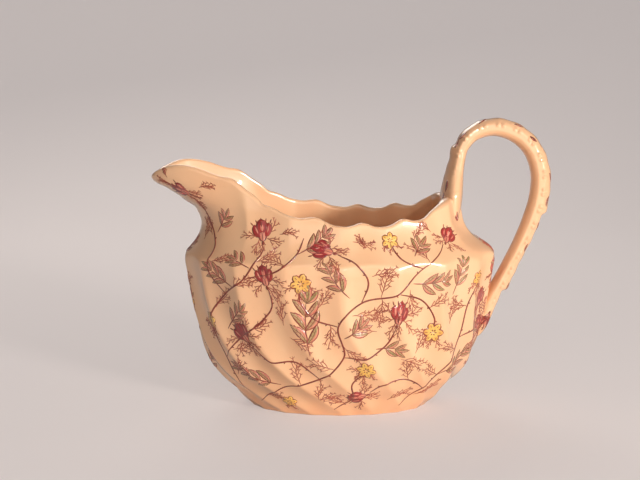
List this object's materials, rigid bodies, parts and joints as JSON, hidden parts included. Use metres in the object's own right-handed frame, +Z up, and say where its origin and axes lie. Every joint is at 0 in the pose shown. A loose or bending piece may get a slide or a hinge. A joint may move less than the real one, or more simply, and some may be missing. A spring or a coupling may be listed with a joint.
{
  "type": "cream jug",
  "caption": "Oval swirl-fluted china cream jug with a scalloped neck, a broad helmet-shaped pouring lip, a high loop handle and a low foot ring, with a small floral print.",
  "frame": {"origin": "centre of the jug's footprint box, on the table under the foot ring", "axes": "+X runs along the jug from the pouring lip to the handle, +Y across it, +Z up along the height"},
  "size_m": [0.1386, 0.07, 0.1006],
  "materials": {
    "glaze": "gloss",
    "slip": "gloss",
    "print_stem": "gloss",
    "print_rose": "gloss",
    "print_leaf": "gloss",
    "print_yellow": "gloss"
  },
  "bodies": {
    "root": {"bowl": "glaze", "pouring_lip": "glaze", "foot_ring": "glaze", "handle": "glaze", "lip_slip_seam": "slip", "foot_slip_seam": "slip", "handle_upper_slip": "slip", "handle_lower_slip": "slip"}
  },
  "joints": []
}
